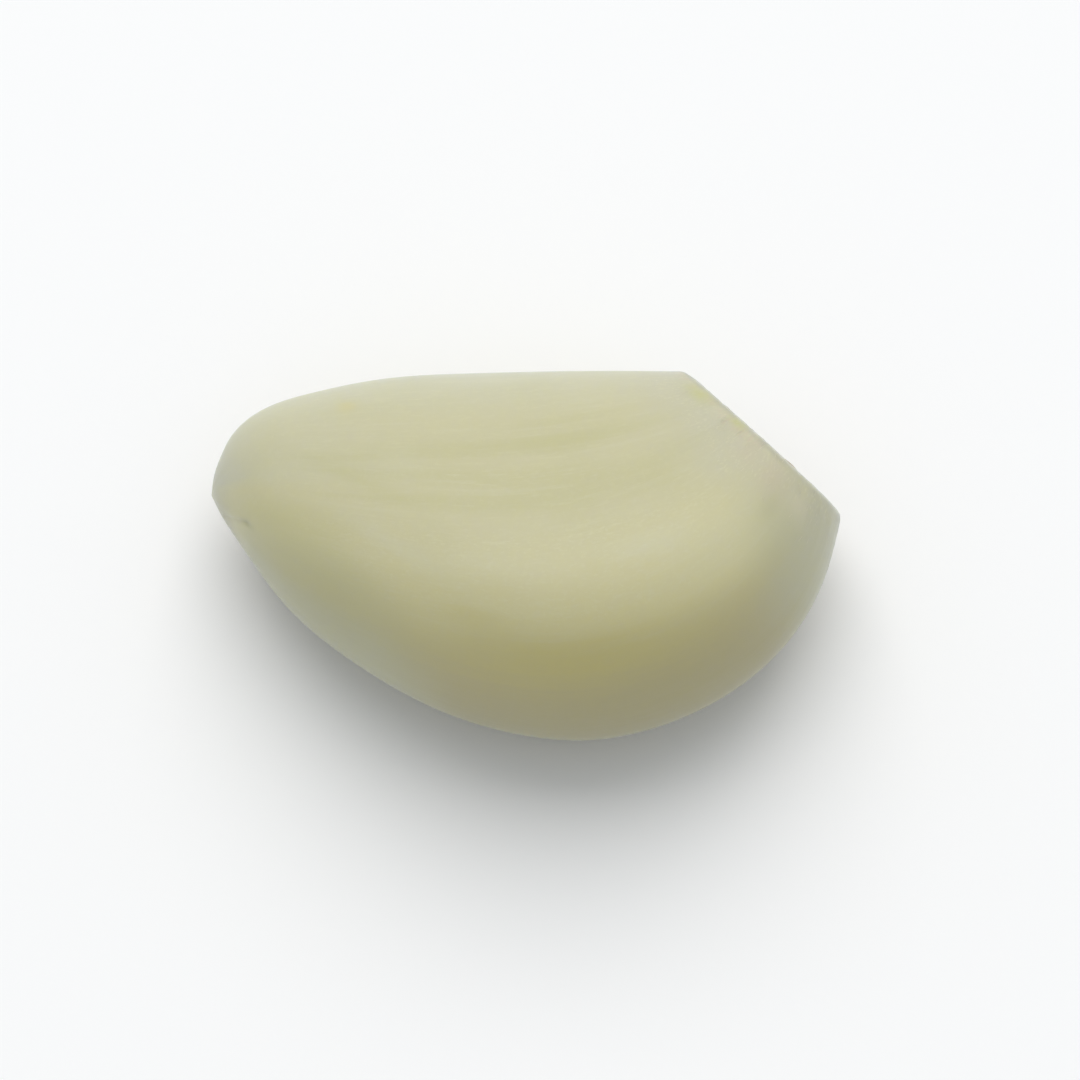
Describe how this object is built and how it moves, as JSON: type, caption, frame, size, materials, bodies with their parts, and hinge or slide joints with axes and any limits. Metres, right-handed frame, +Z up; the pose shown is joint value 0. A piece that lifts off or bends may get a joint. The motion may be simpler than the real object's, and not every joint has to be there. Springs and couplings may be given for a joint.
{
  "type": "peeled garlic clove",
  "caption": "Peeled garlic clove lying on one flank: flat sides that meet in a soft inner ridge, a round back, a blunt tip and a slanted root scar.",
  "frame": {"origin": "centre of the clove's footprint, on the surface that it lies on", "axes": "+X runs along the clove from the tip to the root end, +Y from the round back to the inner ridge, +Z up from the surface it lies on"},
  "size_m": [0.032, 0.0198, 0.0146],
  "materials": {
    "garlic_flesh": "moist, slightly translucent ivory flesh with a soft gloss"
  },
  "bodies": {
    "root": {"clove": "garlic_flesh"}
  },
  "joints": []
}
